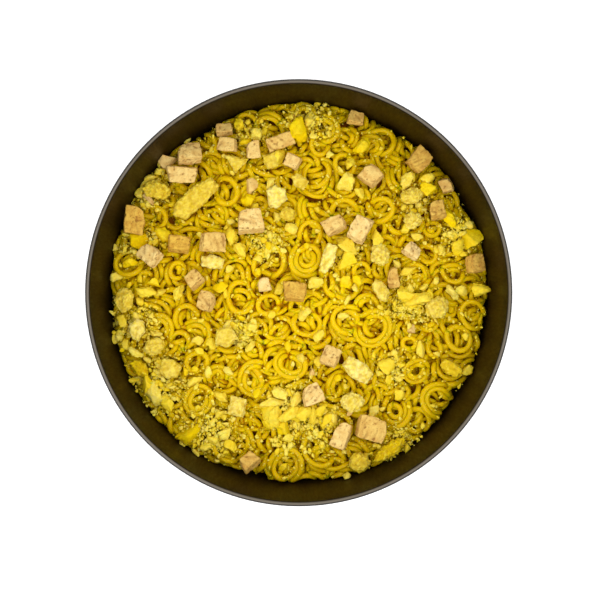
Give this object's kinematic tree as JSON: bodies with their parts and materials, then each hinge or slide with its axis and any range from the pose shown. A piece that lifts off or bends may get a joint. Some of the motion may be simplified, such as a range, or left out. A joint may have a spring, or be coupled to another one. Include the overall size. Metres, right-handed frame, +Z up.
{
  "type": "bowl of freeze-dried noodles",
  "caption": "Dark round bowl filled with curled dried noodles, topped with cubes of dried meat and crumbly yellow chunks.",
  "frame": {"origin": "middle of the flat ring the bowl stands on", "axes": "+Z up out of the bowl's mouth; +Y is the top of the picture"},
  "size_m": [0.17, 0.17, 0.058],
  "materials": {
    "bowl": "dark satin, thin rounded rim",
    "noodles": "dried yellow noodle, smooth with a faint sheen",
    "dried_meat": "dry, porous, tan to pale pink",
    "yellow_chunks": "dry, crumbly, pale to deep yellow"
  },
  "bodies": {
    "root": {"bowl": "bowl", "noodles": "noodles", "meat_cube_01": "dried_meat", "meat_cube_02": "dried_meat", "meat_cube_03": "dried_meat", "meat_cube_04": "dried_meat", "meat_cube_05": "dried_meat", "meat_cube_06": "dried_meat", "meat_cube_07": "dried_meat", "meat_cube_08": "dried_meat", "meat_cube_09": "dried_meat", "meat_cube_10": "dried_meat", "meat_cube_11": "dried_meat", "meat_cube_12": "dried_meat", "meat_cube_13": "dried_meat", "meat_cube_14": "dried_meat", "meat_cube_15": "dried_meat", "meat_cube_16": "dried_meat", "meat_cube_17": "dried_meat", "meat_cube_18": "dried_meat", "meat_cube_19": "dried_meat", "meat_cube_20": "dried_meat", "meat_cube_21": "dried_meat", "meat_cube_22": "dried_meat", "meat_cube_23": "dried_meat", "meat_cube_24": "dried_meat", "meat_cube_25": "dried_meat", "meat_cube_26": "dried_meat", "meat_cube_27": "dried_meat", "meat_cube_28": "dried_meat", "meat_cube_29": "dried_meat", "meat_cube_30": "dried_meat", "meat_cube_31": "dried_meat", "yellow_chunk_01": "yellow_chunks", "yellow_chunk_02": "yellow_chunks", "yellow_chunk_03": "yellow_chunks", "yellow_chunk_04": "yellow_chunks", "yellow_chunk_05": "yellow_chunks", "yellow_chunk_06": "yellow_chunks", "yellow_chunk_07": "yellow_chunks", "yellow_chunk_08": "yellow_chunks", "yellow_chunk_09": "yellow_chunks", "yellow_chunk_10": "yellow_chunks", "yellow_chunk_11": "yellow_chunks", "yellow_chunk_12": "yellow_chunks", "yellow_chunk_13": "yellow_chunks", "yellow_chunk_14": "yellow_chunks", "yellow_chunk_15": "yellow_chunks", "yellow_chunk_16": "yellow_chunks", "yellow_chunk_17": "yellow_chunks", "yellow_chunk_18": "yellow_chunks", "yellow_chunk_19": "yellow_chunks", "yellow_chunk_20": "yellow_chunks", "yellow_chunk_21": "yellow_chunks", "yellow_chunk_22": "yellow_chunks", "yellow_chunk_23": "yellow_chunks", "yellow_chunk_24": "yellow_chunks", "yellow_chunk_25": "yellow_chunks", "yellow_chunk_26": "yellow_chunks"}
  },
  "joints": []
}
